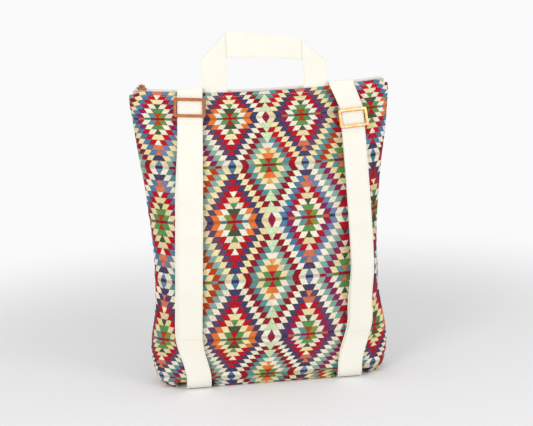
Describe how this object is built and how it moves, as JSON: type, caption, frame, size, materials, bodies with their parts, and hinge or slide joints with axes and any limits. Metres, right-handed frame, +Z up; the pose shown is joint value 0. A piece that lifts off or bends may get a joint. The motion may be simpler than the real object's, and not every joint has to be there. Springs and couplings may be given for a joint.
{
  "type": "tote backpack",
  "caption": "Zip-top tapestry bag with a webbing grab handle, webbing shoulder straps and metal strap slides.",
  "frame": {"origin": "on the floor under the middle of the bag, as it stands on its base", "axes": "+Z up from the base to the zip mouth and the handle, -Y the harness side with the straps, +X to the right seen from the harness side"},
  "size_m": [0.3362, 0.098, 0.4631],
  "materials": {
    "tapestry": "woven jacquard, kilim pattern in red, teal, cream and navy",
    "lining_cotton": "plain woven cotton",
    "webbing": "twill woven cotton webbing, cream",
    "zip_tape": "woven polyester tape, off-white",
    "zip_teeth": "moulded plastic, off-white",
    "copper_metal": "copper plated, polished"
  },
  "bodies": {
    "bag": {"front_panel": "tapestry", "back_panel": "tapestry", "lining": "lining_cotton", "strap_left": "webbing", "strap_return_left": "webbing", "strap_right": "webbing", "strap_return_right": "webbing", "ring_left": "copper_metal", "ring_tab_left": "webbing", "ring_right": "copper_metal", "ring_tab_right": "webbing", "handle": "webbing", "zip_tape_front": "zip_tape", "zip_tape_rear": "zip_tape", "zip_teeth_front": "zip_teeth", "zip_teeth_rear": "zip_teeth"},
    "slide_left": {"slide_left": "copper_metal"},
    "slide_right": {"slide_right": "copper_metal"},
    "zip_slider": {"zip_slider": "copper_metal"},
    "zip_pull": {"zip_pull": "copper_metal"}
  },
  "joints": [
    {"name": "slide_left_travel", "type": "hinge", "parent": "bag", "child": "slide_left", "pos_m": [-0.10413, 0.80527, 0.16], "axis": [0.9984, 0, -0.0558], "range_deg": [0, 13.2], "deforming": ["strap_return_left"]},
    {"name": "slide_right_travel", "type": "hinge", "parent": "bag", "child": "slide_right", "pos_m": [0.12067, 0.80527, 0.16], "axis": [0.9996, 0, 0.0279], "range_deg": [0, 11.6], "deforming": ["strap_return_right"]},
    {"name": "zip_travel", "type": "hinge", "parent": "bag", "child": "zip_slider", "pos_m": [0, 0, 1.9337], "axis": [0, -1, 0], "range_deg": [0, 11.2]},
    {"name": "pull_turn", "type": "hinge", "parent": "zip_slider", "child": "zip_pull", "pos_m": [-0.15094, 0, 0.39748], "axis": [0.9953, 0, -0.0973], "range_deg": [0, 220]}
  ]
}
